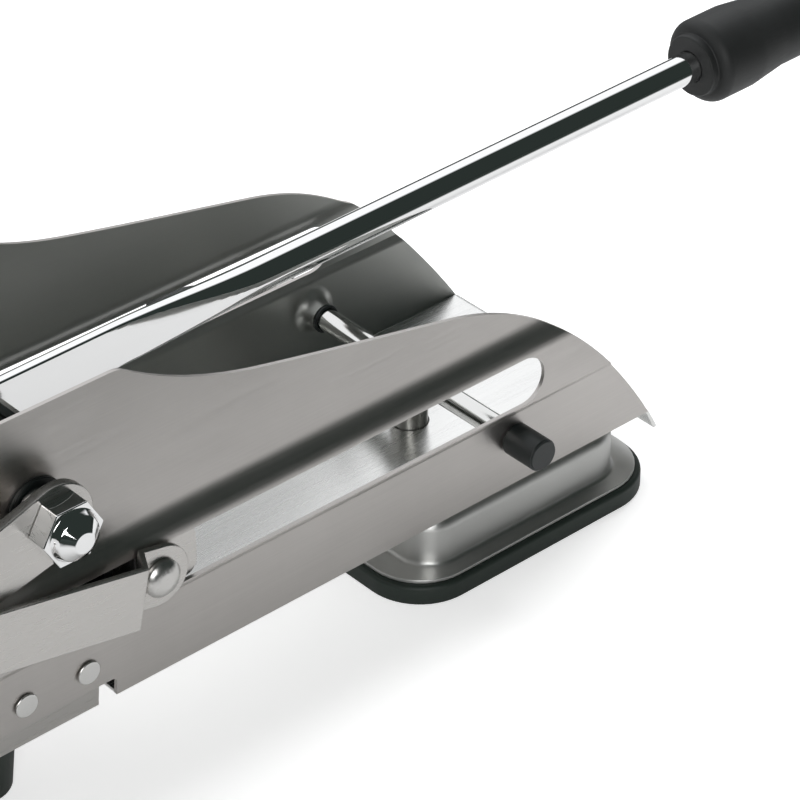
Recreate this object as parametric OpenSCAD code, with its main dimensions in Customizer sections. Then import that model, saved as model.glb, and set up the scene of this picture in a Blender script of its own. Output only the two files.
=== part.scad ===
// Bench fry cutter: a folded stainless trough on a suction foot, a pusher run
// through a blade grid by a hand lever. Millimetres, +Z up, +X to the rear, table at z = 0,
// origin under the middle of the suction pad.
// The pusher stands fully forward and the lever lies level, as it is put away.

/* [Trough] */
// Outside width across the walls at the floor
trough_w = 84; // [70:1:110]
// Length of the walls, front edge to rear corner
trough_len = 262; // [220:1:340]
// Length of the floor, measured from the rear corner
floor_len = 196; // [160:1:260]
// Underside of the floor above the table
floor_z = 22.5; // [18:0.5:40]
// Sheet thickness of floor and walls
sheet_t = 1.2; // [0.8:0.1:2]
// Drop of the lip at the rear end of the floor
lip_drop = 7.8; // [4:0.1:12]
// Height of the wall front above the floor
wall_h = 100.7; // [90:0.5:120]
// Step up of the wall's lower edge in front of the floor
front_step = 6.3; // [3:0.1:12]

/* [Wall band and slot] */
// Outward lean of the lower strip
lean = 6.0; // [0:0.5:9]
// Height of the lower strip above the floor
band_z0 = 26.5; // [20:0.5:32]
// How far the band stands out of the lower strip
band_out = 1.6; // [0.8:0.1:3]
// Height of the flat of the band
band_h = 18.8; // [16:0.2:24]
// How far the upper wall stands back from the band
band_back = 3.8; // [2:0.1:6]
// Height of the slot
slot_h = 15.4; // [12:0.2:18]
// Centre of the slot above the floor
slot_z = 37.1; // [34:0.1:42]
// Rear end of the slot, from the rear corner
slot_rear = 47; // [30:1:70]

/* [Suction foot] */
// Side of the square rubber pad
pad_side = 99; // [80:1:120]
// Thickness of the rubber pad
pad_t = 6.2; // [4:0.1:9]
// Centre of the foot, from the rear corner
foot_x = 48.5; // [45:0.5:60]
// Length of the drawn box
box_l = 79; // [60:1:90]
// Width of the drawn box
box_w = 82; // [60:1:90]
// Radius of the drawn box's upper edge
shoulder = 4; // [1:0.5:6]
// Diameter of the pull plate in the pad
plate_d = 54; // [40:1:64]
// Rim left between the flange and the pad's edge
rim = 1.6; // [0.5:0.1:4]

/* [Cam] */
// Cam rod, from the rear corner
cam_x = 56; // [50:0.5:70]
// Cam rod above the floor underside
cam_z = 18; // [14:0.5:24]
// Diameter of the cam rod
cam_d = 7; // [5:0.5:10]
// Throw of the cam
cam_e = 0.8; // [0.4:0.1:1.2]
// Diameter of the pull stud
stud_d = 11; // [10:0.5:16]
// Length of the vacuum arm
arm_l = 44; // [30:1:60]
// Angle of the vacuum arm above level
arm_a = 14; // [0:1:45]

/* [Pusher] */
// Rivet centre behind the wall front
rivet_x = 77; // [70:1:110]
// Travel of the pusher
travel = 109.2; // [60:1:115]
// Pitch of the blade grid
pitch = 10; // [8:0.5:12]
// Columns of the grid
cols = 7; // [4:1:7]
// Rows of the grid
rows = 6; // [4:1:6]
// Length of the studs, from the face of the back plate
stud_l = 58; // [30:1:66]
// Gap left round each stud
stud_gap = 1.5; // [1:0.1:3]

/* [Lever and links] */
// Lever shaft behind the wall front
pivot_x = 44; // [40:1:55]
// Lever shaft above the floor underside
pivot_z = 72.2; // [70:0.1:80]
// Diameter of the lever shaft
shaft_d = 10; // [8:0.5:12]
// Throw of the cranks
crank_r = 62; // [50:1:66]
// Crank angle forward of straight down
crank_a = 75; // [60:1:80]
// Diameter of the lever tube
tube_d = 9.4; // [8:0.1:14]
// Lever shaft to the end of the grip
lever_l = 385; // [300:5:450]
// Rise of the lever towards its grip
lever_a = 1; // [0:0.25:5]
// Length of the grip
grip_l = 112; // [80:1:140]
// Greatest diameter of the grip
grip_d = 26; // [20:1:34]
// Width of the link plates
link_w = 18.4; // [14:0.2:24]
// Outward step of the link plates
link_out = 7.4; // [5:0.1:10]

/* [Hidden] */
$fn = 64;
fit = 0.05;                     // running fit, each side
gap = 0.3;                      // clearance between parts that pass
rear = foot_x;                  // rear corner of the trough
front = rear - trough_len;      // front edge of the walls
fz = floor_z;                   // underside of the floor
half_w = trough_w / 2;
k_lean = tan(lean);
band_y0 = half_w + band_z0 * k_lean;      // top of the lower strip
band_y = band_y0 + band_out;              // outer face of the band
band_z1 = band_z0 + 2.2;                  // lower edge of the band
band_z2 = band_z1 + band_h;               // upper edge of the band
up_y = band_y - band_back;                // outer face of the upper wall
up_z = band_z2 + 5.2;                     // lower edge of the upper wall
slot_r = slot_h / 2;
slot_cz = fz + slot_z;
cam_cx = rear - cam_x;
cam_cz = fz + cam_z;
foot_cx = rear - foot_x;
p2x = front + rivet_x;                    // pusher rivet
p2z = slot_cz;
p0x = front + pivot_x;                    // lever shaft
p0z = fz + pivot_z;
p1x = p0x - crank_r * sin(crank_a);       // crank pin
p1z = p0z - crank_r * cos(crank_a);
link_l = norm([p2x - p1x, p1z - p2z]);
link_a = atan2(p1z - p2z, p2x - p1x);
grid_w = cols * pitch;
grid_h = rows * pitch;
grid_z = fz + 3;                          // lower edge of the grid opening
link_y = band_y + 0.7;                    // inner face of the link at the rivet
link_t = 1.8;
crank_y = link_y + 2.0;
crank_t = 3;
link_y2 = link_y + link_out;              // inner face of the stepped link
arm_y = link_y2 + link_t + 2;             // inner face of the vacuum arm
frame_x = front + sheet_t;                // front face of the blade frame
frame_t = 10;

// Which sub-part to draw

// ---- helpers ----

module far_side() mirror([0, 1, 0]) children();

module both() { children(); mirror([0, 1, 0]) children(); }

// Round bar along Y, from y0 to y1.
module bar_y(d, y0, y1, x, z) {
    translate([x, y0, z]) rotate([-90, 0, 0]) cylinder(d = d, h = y1 - y0);
}

// Flat shape in the XZ plane made thick along Y, from y0 to y1.
module plate_y(y0, y1) {
    translate([0, y1, 0]) rotate([90, 0, 0]) linear_extrude(y1 - y0) children();
}

// Rectangle with round corners, built from squares and circles.
module round_rect(l, w, r) {
    square([l - 2 * r, w], center = true);
    square([l, w - 2 * r], center = true);
    for (i = [-1, 1], j = [-1, 1])
        translate([i * (l / 2 - r), j * (w / 2 - r)]) circle(r);
}

// Slot with round ends, length l over all.
module stadium(l, h) {
    square([l - h, h], center = true);
    for (i = [-1, 1]) translate([i * (l - h) / 2, 0]) circle(d = h);
}

// Strip between two circles, for cranks and arms.
module strip(l, r0, r1) {
    circle(r0);
    translate([l, 0]) circle(r1);
    polygon([[0, -0.995 * r0], [l, -0.995 * r1], [l, 0.995 * r1], [0, 0.995 * r0]]);
}

function bez(a, b, c, d, n) = [for (i = [0 : n - 1]) let (t = i / n, s = 1 - t)
    s * s * s * a + 3 * s * s * t * b + 3 * s * t * t * c + t * t * t * d];

// ---- trough ----

// Outline of a wall seen from the side, drawn from the rear corner with z from the floor.
function wall_edge() = concat(
    bez([0, 0], [-6, 10], [-24, 35.5], [-39.2, 47.6], 8),
    bez([-39.2, 47.6], [-50, 55.5], [-62, 63], [-80, 66.8], 8),
    bez([-80, 66.8], [-104, 72], [-126, 76.4], [-146, 81.2], 6),
    bez([-146, 81.2], [-162, 85], [-176, 91], [-188.6, 99.6], 8),
    [[-190.4, wall_h - 0.3], [-192, wall_h]]);

module wall_outline() {
    translate([rear, fz]) difference() {
        polygon(concat(wall_edge(), [[-trough_len + 12, wall_h],
            [-trough_len + 5.5, wall_h - 2], [-trough_len + 1.7, wall_h - 5.8],
            [-trough_len, wall_h - 12], [-trough_len, front_step],
            [-floor_len - 1.5, front_step], [-floor_len, front_step - 1.5],
            [-floor_len, 0]]));
    }
}

// Outer face of a wall seen end on, z from the floor.
function wall_path(s) = [[half_w - s, 0], [band_y0 - s, band_z0], [band_y - s, band_z1],
    [band_y - s, band_z2], [band_y - s - 0.25 * band_back, band_z2 + 1.2],
    [up_y - s + 0.25 * band_back, up_z - 1.4], [up_y - s, up_z], [up_y - s, wall_h + 1]];

function flip(v) = [for (i = [len(v) - 1 : -1 : 0]) v[i]];

module wall_body() {
    intersection() {
        translate([front - 1, 0, fz]) rotate([90, 0, 90]) linear_extrude(trough_len + 2)
            polygon(concat(wall_path(0), flip(wall_path(sheet_t))));
        plate_y(half_w - 4, band_y + 4) wall_outline();
    }
}

slot_l = trough_len - slot_rear - 30;     // the slot stops 30 short of the wall front
slot_cx = rear - slot_rear - slot_l / 2;

module wall() {
    difference() {
        wall_body();
        plate_y(half_w - 4, band_y + 4) translate([slot_cx, slot_cz]) stadium(slot_l, slot_h);
        bar_y(cam_d + 2 * fit, half_w - 4, band_y + 4, cam_cx, cam_cz);
        bar_y(13, half_w - 4, band_y + 4, p0x, p0z);
        for (x = rivet_spots()) bar_y(4, half_w - 4, band_y + 4, x, fz + rivet_z);
    }
    blade_stop();
}

rivet_z = 14;                   // stand rivets above the floor's underside

function rivet_spots() = [front + 12, front + 36, front + 56];

// Inward flange at the front that stops the blade frame.
module blade_stop() {
    in = half_w - sheet_t + 0.01;
    difference() {
        translate([front, 0, 0]) rotate([90, 0, 90]) linear_extrude(sheet_t)
            polygon([[grid_w / 2 + 0.5, fz + front_step + 0.7], [in + 0.7, fz + front_step + 0.7],
                [band_y0 - sheet_t + 0.2, fz + band_z0], [band_y - sheet_t + 0.2, fz + band_z1],
                [band_y - sheet_t + 0.2, fz + band_z2], [up_y - sheet_t + 0.2, fz + up_z],
                [up_y - sheet_t + 0.2, grid_z + grid_h + 4], [grid_w / 2 + 0.5, grid_z + grid_h + 4]]);
        // notches, open to the inside, for the studs of the blade frame
        for (z = nut_spots()) translate([front - 1, nut_y, z]) {
            rotate([0, 90, 0]) cylinder(d = 3.4, h = sheet_t + 2);
            translate([0, -4, -1.7]) cube([sheet_t + 2, 4, 3.4]);
        }
    }
}

nut_y = grid_w / 2 + 2;

function nut_spots() = [grid_z + 9, grid_z + grid_h - 6];

// Neck drawn inwards round the cam rod in the far wall.
module rod_neck() {
    difference() {
        translate([cam_cx, half_w - 3.4, cam_cz]) rotate([-90, 0, 0])
            cylinder(d1 = cam_d + 2.6, d2 = cam_d + 7, h = 4.6);
        bar_y(cam_d + 2 * fit, half_w - 5, half_w + 5, cam_cx, cam_cz);
    }
}

module wall_far() { color("#b8b6b2") { wall(); rod_neck(); } }
module wall_near() { color("#b8b6b2") far_side() wall(); }

module floor_tray() {
    w = half_w - sheet_t;
    color("#c6c5c2") {
        difference() {
            translate([rear - floor_len, -w, fz]) cube([floor_len, 2 * w, sheet_t]);
            translate([cam_cx, 0, fz - 1]) cylinder(d = stud_d + 1.2, h = 4);
        }
        // lip bent down at the rear
        plate_y(-w - sheet_t + 0.2, w + sheet_t - 0.2) polygon([[rear, fz + sheet_t],
            [rear + 1.2, fz + 0.5], [rear + 2.95, fz - lip_drop],
            [rear + 1.75, fz - lip_drop - 0.2], [rear, fz]]);
    }
}

// ---- suction foot ----

box_z = pad_t + 1.2;            // top of the flange
fl_l = pad_side - 2 * rim;

// Block with upright corners of radius r and an upper edge of radius e.
module soft_block(l, w, r, e, z0, z1) {
    translate([0, 0, z0]) linear_extrude(z1 - e - z0) round_rect(l, w, r);
    translate([0, 0, z1 - e]) {
        linear_extrude(e) round_rect(l - 2 * e, w - 2 * e, r - e);
        for (i = [-1, 1], j = [-1, 1]) translate([i * (l / 2 - r), j * (w / 2 - r), 0])
            rotate_extrude() intersection() {
                translate([r - e, 0]) circle(e);
                square([r, e]);
            }
        for (i = [-1, 1]) {
            translate([0, i * (w / 2 - e), 0]) rotate([90, 0, 90]) half_round(l - 2 * r, e);
            translate([i * (l / 2 - e), 0, 0]) rotate([90, 0, 0]) half_round(w - 2 * r, e);
        }
    }
}

module half_round(l, e) {
    linear_extrude(l, center = true) intersection() {
        circle(e);
        translate([-e, 0]) square([2 * e, e]);
    }
}

module suction_housing() {
    color("#b4b2ae") translate([foot_cx, 0, 0]) difference() {
        union() {
            translate([0, 0, pad_t]) linear_extrude(sheet_t) round_rect(fl_l, fl_l, 17);
            translate([0, 0, box_z]) linear_extrude(0.7) round_rect(box_l + 1.4, box_w + 1.4, 11.7);
            soft_block(box_l, box_w, 11, shoulder, pad_t, fz);
        }
        translate([0, 0, pad_t - 1]) linear_extrude(fz - sheet_t - pad_t + 1)
            round_rect(box_l - 2 * sheet_t - 3, box_w - 2 * sheet_t - 3, 8.5);
        translate([cam_cx - foot_cx, 0, fz - 4]) cylinder(d = stud_d + 5, h = 6);
    }
}

module suction_pad() {
    color("#1c211e") translate([foot_cx, 0, 0]) difference() {
        union() {
            linear_extrude(1.5) round_rect(pad_side, pad_side, 18);
            translate([0, 0, 1.5]) linear_extrude(pad_t - 1.5) round_rect(pad_side - 1, pad_side - 1, 17.5);
        }
        // recess that takes the pull plate; the underside lies flat while the pad is let go
        translate([cam_cx - foot_cx, 0, 3.6]) cylinder(d = plate_d + 6, h = pad_t);
    }
}

module pull_plate() {
    color("#9a9894") translate([cam_cx, 0, 3.9]) difference() {
        union() { cylinder(d = plate_d, h = 1.6); translate([0, 0, 1.6]) cylinder(d = 20, h = 3); }
        translate([0, 0, -1]) cylinder(d = 6, h = 8);
    }
}

module pull_stud() {
    color("#a8a6a2") difference() {
        union() {
            translate([cam_cx, 0, 8.5]) cylinder(d = stud_d, h = cam_cz - 8.5 + 6.2);
            translate([cam_cx, 0, cam_cz + 6.2]) cylinder(d1 = stud_d, d2 = stud_d - 3, h = 1.5);
            translate([cam_cx, 0, 3.9]) cylinder(d = 6, h = 5);
        }
        // eye for the throw of the cam
        bar_y(cam_d + 1.5 * cam_e, -stud_d, stud_d, cam_cx, cam_cz);
    }
}

module stud_seal() {
    color("#20231f") translate([cam_cx, 0, fz - sheet_t]) difference() {
        union() {
            cylinder(d = stud_d + 5 - 0.1, h = sheet_t);
            translate([0, 0, -1.6]) cylinder(d = stud_d + 9, h = 1.6);
        }
        translate([0, 0, -3]) cylinder(d = stud_d + 0.1, h = 8);
    }
}

// ---- cam ----

module cam_shaft() {
    far_end = arm_y + 4.2;
    color("#d4d4d2") {
        bar_y(cam_d, -band_y0 - 8.2, -stud_d / 2 - 1, cam_cx, cam_cz);
        bar_y(cam_d, stud_d / 2 + 1, far_end, cam_cx, cam_cz);
        // thinner pin, off the rod's axis, that lifts the pull stud
        bar_y(cam_d - 2.5 * cam_e, -stud_d / 2 - 1.2, stud_d / 2 + 1.2, cam_cx, cam_cz - cam_e);
        // shoulder and rivet head that hold the arm
        bar_y(11, up_y + 4, arm_y, cam_cx, cam_cz);
        bar_y(11, arm_y + 3, far_end + 0.6, cam_cx, cam_cz);
    }
}

cap_y = half_w + cam_z * k_lean + 0.75;

module shaft_cap() {
    color("#14191a") far_side() difference() {
        union() {
            bar_y(9.8, cap_y, cap_y + 11, cam_cx, cam_cz);
            bar_y(9, cap_y + 11, cap_y + 11.6, cam_cx, cam_cz);
        }
        bar_y(cam_d + 0.1, cap_y - 1, cap_y + 9, cam_cx, cam_cz);
    }
}

module cam_collar() {
    color("#3a3c3a") difference() {
        bar_y(cam_d + 1.8, half_w - 5.6, half_w - 4.5, cam_cx, cam_cz);
        bar_y(cam_d + 0.1, half_w - 8, half_w, cam_cx, cam_cz);
    }
}

module at_arm() {
    translate([cam_cx, arm_y + 3, cam_cz]) rotate([0, arm_a, 0])
        rotate([90, 0, 0]) mirror([1, 0, 0]) children();
}

arm_r = 6;                      // radius of the arm round the rod
tip_r = 2.6;                    // radius of its tip, inside the knob

module vacuum_arm() {
    color("#c2c1be") difference() {
        at_arm() linear_extrude(3) strip(arm_l, arm_r, tip_r);
        bar_y(cam_d + 0.1, arm_y - 1, arm_y + 4, cam_cx, cam_cz);
    }
}

module vacuum_knob() {
    color("#171b1a") at_arm() difference() {
        translate([arm_l - 6.5, 0, -1.6]) linear_extrude(6.2) stadium(21, 8.8);
        translate([0, 0, -fit]) linear_extrude(3 + 2 * fit) strip(arm_l, arm_r + fit, tip_r + fit);
    }
}

// ---- pusher ----

block_x = p2x - 5;              // rear face of the stud block
block_t = 3;
back_t = 1.5;                   // sheet of the pusher frame

module pusher_frame() {
    ear_y = band_y - sheet_t - 0.4;
    x0 = block_x;
    color("#aaa8a4") {
        // back plate with ears that reach into the bands
        translate([x0, 0, 0]) rotate([90, 0, 90]) linear_extrude(back_t) difference() {
            union() {
                translate([-(grid_w / 2 + 4), grid_z - 0.6]) square([grid_w + 8, grid_h + 0.4]);
                translate([-ear_y, slot_cz - 7.6]) square([2 * ear_y, 15.6]);
            }
            for (y = screw_spots()) translate([y, slot_cz]) circle(d = 3.2);
        }
        // side flanges that run in the bands
        both() difference() {
            plate_y(ear_y - 1.5, ear_y) union() {
                translate([x0, slot_cz - 7.6]) square([16, 15.6]);
                translate([x0 + 16, slot_cz - 3.6]) square([4, 7.6]);
                for (z = [slot_cz - 3.6, slot_cz + 4]) translate([x0 + 16, z]) circle(4);
            }
            bar_y(6, ear_y - 3, ear_y + 3, p2x, p2z);
        }
    }
}

module pusher_block() {
    color("#1d201e") {
        difference() {
            translate([block_x - block_t, -grid_w / 2, grid_z])
                cube([block_t, grid_w, grid_h]);
            for (y = screw_spots()) translate([block_x - 2.2, y, slot_cz])
                rotate([0, 90, 0]) cylinder(d = 3.2, h = 3);
        }
        for (i = [0 : cols - 1], j = [0 : rows - 1])
            translate([block_x - stud_l, (i - cols / 2) * pitch + stud_gap / 2,
                grid_z + j * pitch + stud_gap / 2])
                cube([stud_l - block_t + 0.01, pitch - stud_gap, pitch - stud_gap]);
    }
}

function screw_spots() = [-24, 24];

module pusher_screws() {
    color("#c9c8c5") for (y = screw_spots()) translate([block_x - 2, y, slot_cz])
        rotate([0, 90, 0]) {
            cylinder(d = 3, h = 3.5);
            translate([0, 0, 3.5]) cylinder(d = 7, h = 1.4);
            translate([0, 0, 4.9]) cylinder(d1 = 7, d2 = 4.6, h = 0.9);
        }
}

// Rivets through the pusher flanges, the wall slots and the links.
module pusher_rivets() {
    y0 = band_y - sheet_t - 0.4;
    color("#d6d6d4") both() {
        bar_y(2 * (p2x - block_x - back_t) - 0.2, y0 - 3.1, y0 - 1.5, p2x, p2z);
        bar_y(6, y0 - 1.5, link_y + link_t + 0.2, p2x, p2z);
        bar_y(8.6, y0 + 0.05, link_y - 0.05, p2x, p2z);
        translate([p2x, link_y + link_t + 0.1, p2z]) rotate([-90, 0, 0]) {
            cylinder(d = 11, h = 1.2);
            translate([0, 0, 1.2]) cylinder(d1 = 11, d2 = 8.4, h = 1.2);
            translate([0, 0, 2.4]) cylinder(d1 = 8.4, d2 = 4, h = 0.6);
        }
    }
}

// Link frame: origin at the pusher rivet, +X forward along the link, +Z outward from the wall.
module at_link() {
    translate([p2x, 0, p2z]) rotate([0, link_a, 0]) rotate([90, 0, 0]) mirror([1, 0, 0])
        mirror([0, 0, 1]) children();
}

module link_plate() {
    o = link_out;
    difference() {
        intersection() {
            at_link() translate([0, -link_w / 2, 0]) rotate([-90, 0, 0]) mirror([0, 1, 0])
                linear_extrude(link_w) polygon([[-link_w, link_y], [7.6, link_y],
                    [11.9, link_y + o], [link_l + link_w, link_y + o],
                    [link_l + link_w, link_y + o + link_t], [11, link_y + o + link_t],
                    [6.7, link_y + link_t], [-link_w, link_y + link_t]]);
            at_link() translate([0, 0, link_y - 1]) linear_extrude(o + link_t + 2) union() {
                circle(d = link_w);
                translate([link_l, 0]) circle(d = link_w);
                translate([0, -link_w / 2]) square([link_l, link_w]);
            }
        }
        bar_y(6 + 2 * fit, band_y, band_y + 20, p2x, p2z);
    }
}

module link_far() { color("#b0aeaa") link_plate(); }
module link_near() { color("#b0aeaa") far_side() link_plate(); }

// Rivet head on the front end of a link.
module link_pin() {
    translate([p1x, link_y2 + link_t, p1z]) rotate([-90, 0, 0]) {
        cylinder(d = 12, h = 1.4);
        translate([0, 0, 1.4]) cylinder(d1 = 12, d2 = 8.6, h = 1.4);
    }
}

module link_pin_far() { color("#d6d6d4") link_pin(); }
module link_pin_near() { color("#d6d6d4") far_side() link_pin(); }

// ---- lever ----

module lever_shaft() {
    e = crank_y + crank_t + 7;
    color("#cfcfcd") bar_y(shaft_d, -e, e, p0x, p0z);
}

module crank() {
    color("#b6b4b0") difference() {
        translate([p0x, crank_y + crank_t, p0z]) rotate([0, crank_a - 90, 0])
            rotate([90, 0, 0]) mirror([1, 0, 0]) linear_extrude(crank_t) strip(crank_r, 11, 8.5);
        bar_y(shaft_d, crank_y - 1, crank_y + crank_t + 1, p0x, p0z);
    }
}

module crank_far() crank();
module crank_near() far_side() crank();

module crank_studs() {
    y = crank_y + crank_t;
    color("#cfcfcd") both() {
        bar_y(12, y, link_y2 - gap, p1x, p1z);
        bar_y(12, crank_y - 1.6, crank_y, p1x, p1z);
    }
}

module shaft_nuts() {
    y = crank_y + crank_t;
    color("#dadad8") both() difference() {
        union() {
            translate([p0x, y, p0z]) rotate([-90, 0, 0]) cylinder(d = 18.5, h = 6.4, $fn = 6);
            translate([p0x, y + 6.4, p0z]) rotate([-90, 0, 0]) cylinder(d1 = 14.5, d2 = 12.6, h = 2.2);
            translate([p0x, y + 8.6, p0z]) rotate([-90, 0, 0]) cylinder(d1 = 12.6, d2 = 6, h = 2.4);
        }
        bar_y(shaft_d, y - 1, y + 7, p0x, p0z);
    }
}

module shaft_sleeves() {
    color("#c4c3c0") both() difference() {
        bar_y(14, up_y + 1.5, crank_y, p0x, p0z);
        bar_y(shaft_d, up_y, crank_y + 1, p0x, p0z);
    }
}

module shaft_bushes() {
    color("#2a2c2b") both() difference() {
        union() {
            bar_y(12.9, up_y - sheet_t - 0.8, up_y + 0.1, p0x, p0z);
            bar_y(17, up_y, up_y + 1.2, p0x, p0z);
        }
        bar_y(shaft_d + 2 * fit, up_y - 6, up_y + 3, p0x, p0z);
    }
}

// Lever frame: origin on the shaft, +X along the lever, flat shapes drawn in XZ.
module at_lever() {
    translate([p0x, 0, p0z]) rotate([0, -lever_a, 0]) children();
}

flat_h = 13.4;                  // height of the flattened end
flat_t = 3.4;                   // thickness of the flattened end
flat_l = 58;                    // end of the full flat
round_l = 106;                  // start of the round tube

module lever_tube() {
    color("#dededc") difference() {
        at_lever() {
            // round tube
            translate([round_l, 0, 0]) rotate([0, 90, 0])
                cylinder(d = tube_d, h = lever_l - 12 - round_l);
            // tube narrowing sideways towards the flat
            intersection() {
                translate([12, 0, 0]) rotate([0, 90, 0]) cylinder(d = tube_d, h = round_l - 11.9);
                linear_extrude(tube_d + 2, center = true) polygon([[12, -flat_t / 2],
                    [flat_l, -flat_t / 2], [round_l, -tube_d / 2], [round_l + 1, -tube_d / 2],
                    [round_l + 1, tube_d / 2], [round_l, tube_d / 2], [flat_l, flat_t / 2],
                    [12, flat_t / 2]]);
            }
            // flat that spreads upwards and downwards
            plate_y(-flat_t / 2, flat_t / 2) union() {
                circle(9);
                polygon([[0, -flat_h / 2], [flat_l, -flat_h / 2], [round_l - 6, -tube_d / 2 + 0.4],
                    [round_l - 6, tube_d / 2 - 0.4], [flat_l, flat_h / 2], [0, flat_h / 2]]);
            }
        }
        bar_y(shaft_d, -5, 5, p0x, p0z);
    }
}

// Collars welded to the shaft on both faces of the flat end.
module lever_collars() {
    color("#c9c9c6") both() difference() {
        bar_y(18, flat_t / 2, flat_t / 2 + 6, p0x, p0z);
        bar_y(shaft_d, 0, 12, p0x, p0z);
    }
}

module handle_grip() {
    r = grip_d / 2;
    g = lever_l - grip_l;
    color("#1b1d1d") difference() {
        at_lever() translate([g, 0, 0]) rotate([0, 90, 0]) rotate_extrude() difference() {
            union() {
                square([r - 3.5, 6]);
                translate([0, 3.5]) square([r - 1.6, grip_l - 12]);
                translate([0, 6]) square([r, 12]);
                translate([r - 3.5, 6]) circle(3.5);
                translate([0, 18]) polygon([[0, 0], [r, 0], [r - 2.4, 20], [r - 2.4, 50],
                    [r, 74], [r, grip_l - 24], [0, grip_l - 24]]);
            }
            translate([-10, -5]) square([10, grip_l + 10]);
        }
        at_lever() translate([g - 1, 0, 0]) rotate([0, 90, 0])
            cylinder(d = tube_d + 0.1, h = grip_l - 10.9);
    }
}

module grip_cap() {
    r = grip_d / 2;
    color("#2b2e2d") at_lever() translate([lever_l - 6, 0, 0]) rotate([0, 90, 0]) {
        cylinder(r1 = r, r2 = r - 1.4, h = 3.4);
        translate([0, 0, 3.4]) cylinder(r1 = r - 1.4, r2 = r - 5, h = 2.6);
    }
}

// ---- blades ----

module blade_frame() {
    x0 = frame_x;
    color("#bdbcb9") difference() {
        translate([x0, -grid_w / 2 - 4, grid_z - 3])
            cube([frame_t, grid_w + 8, grid_h + 8]);
        translate([x0 - 1, -grid_w / 2, grid_z]) cube([frame_t + 2, grid_w, grid_h]);
        for (s = [-1, 1], z = nut_spots()) translate([x0 - 1, s * nut_y, z])
            rotate([0, 90, 0]) cylinder(d = 3, h = 7);
    }
}

blade_t = 0.6;

module blades_upright() {
    color("#d9d9d7") for (i = [1 : cols - 1])
        translate([frame_x + 5.2, (i - cols / 2) * pitch - blade_t / 2, grid_z])
            cube([4.4, blade_t, grid_h]);
}

module blades_level() {
    color("#d9d9d7") for (j = [1 : rows - 1])
        translate([frame_x + 0.4, -grid_w / 2, grid_z + j * pitch - blade_t / 2])
            cube([4.4, grid_w, blade_t]);
}

module blade_studs() {
    color("#cfcfcd") for (s = [-1, 1], z = nut_spots())
        translate([front - 6.4, s * nut_y, z]) rotate([0, 90, 0])
            cylinder(d = 3, h = 6.4 + sheet_t + 6);
}

module blade_nuts() {
    color("#cbcac6") for (s = [-1, 1], z = nut_spots())
        translate([front, s * nut_y, z]) rotate([0, -90, 0]) difference() {
            union() {
                cylinder(d = 8, h = 1.2);
                translate([0, 0, 1.2]) cylinder(d = 10, h = 4);
            }
            translate([0, 0, -1]) cylinder(d = 3, h = 8);
            for (k = [0 : 11]) rotate(k * 30) translate([5.3, 0, 1]) cylinder(d = 1.4, h = 5, $fn = 16);
        }
}

// ---- front stand ----

stand_t = 1.5;
stand_x0 = front + 4;
stand_x1 = rear - floor_len - 5;

module front_stand() {
    in = half_w - sheet_t - fit;
    k = k_lean;
    color("#acaaa6") difference() {
        // channel: a deck level with the floor and two sides that lie against the walls
        translate([stand_x0, 0, fz]) rotate([90, 0, 90]) linear_extrude(stand_x1 - stand_x0)
            polygon([[-in, -stand_t], [in, -stand_t], [in, 0], [in + 20 * k, 20],
                [in + 20 * k - stand_t, 20], [in - stand_t, 0], [stand_t - in, 0],
                [stand_t - in - 20 * k, 20], [-in - 20 * k, 20], [-in, 0]]);
        for (x = rivet_spots()) bar_y(4, -half_w - 9, half_w + 9, x, fz + rivet_z);
        for (y = foot_spots()) translate([foot_fx, y, fz - 8]) cylinder(d = 5, h = 12);
    }
}

foot_fx = front + 32;
function foot_spots() = [-25, 25];

foot_d = 22;                    // diameter of a front foot at its top
foot_seat = 7;                  // height of the screw's seat inside a front foot

module front_feet() {
    top = fz - stand_t;
    color("#1a1e1c") for (y = foot_spots()) translate([foot_fx, y, 0]) difference() {
        union() {
            cylinder(d1 = foot_d - 5, d2 = foot_d - 4, h = 1);
            translate([0, 0, 1]) cylinder(d1 = foot_d - 4, d2 = foot_d, h = top - 1);
        }
        translate([0, 0, -1]) cylinder(d = 10, h = foot_seat + 1);
        translate([0, 0, 6]) cylinder(d = 5, h = top);
    }
}

module foot_screws() {
    color("#c9c8c5") for (y = foot_spots()) translate([foot_fx, y, 0]) {
        translate([0, 0, foot_seat - 2.4]) cylinder(d = 8.6, h = 2.4);
        translate([0, 0, foot_seat - 1]) cylinder(d = 4.9, h = fz - foot_seat + 3.6);
        translate([0, 0, fz]) cylinder(d = 8, h = 2.2, $fn = 6);
    }
}

module stand_rivets() {
    y = half_w + rivet_z * k_lean;
    color("#cbcac6") both() for (x = rivet_spots()) {
        bar_y(3.9, y - sheet_t - stand_t - 1, y + 0.6, x, fz + rivet_z);
        bar_y(7, y + 0.45, y + 1.2, x, fz + rivet_z);
        bar_y(6, y - sheet_t - stand_t - 1.6, y - sheet_t - stand_t - 0.5, x, fz + rivet_z);
    }
}

floor_tray();
wall_near();
wall_far();
suction_housing();
suction_pad();
pull_stud();
pull_plate();
stud_seal();
cam_shaft();
shaft_cap();
cam_collar();
vacuum_arm();
vacuum_knob();
pusher_frame();
pusher_block();
pusher_screws();
pusher_rivets();
link_near();
link_far();
link_pin_near();
link_pin_far();
lever_shaft();
crank_near();
crank_far();
crank_studs();
shaft_nuts();
shaft_sleeves();
shaft_bushes();
lever_tube();
lever_collars();
handle_grip();
grip_cap();
blade_frame();
blades_upright();
blades_level();
blade_studs();
blade_nuts();
front_stand();
front_feet();
stand_rivets();
foot_screws();
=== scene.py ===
import math
import bmesh
import bpy
from mathutils import Matrix, Vector
from mathutils.geometry import interpolate_bezier


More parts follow.
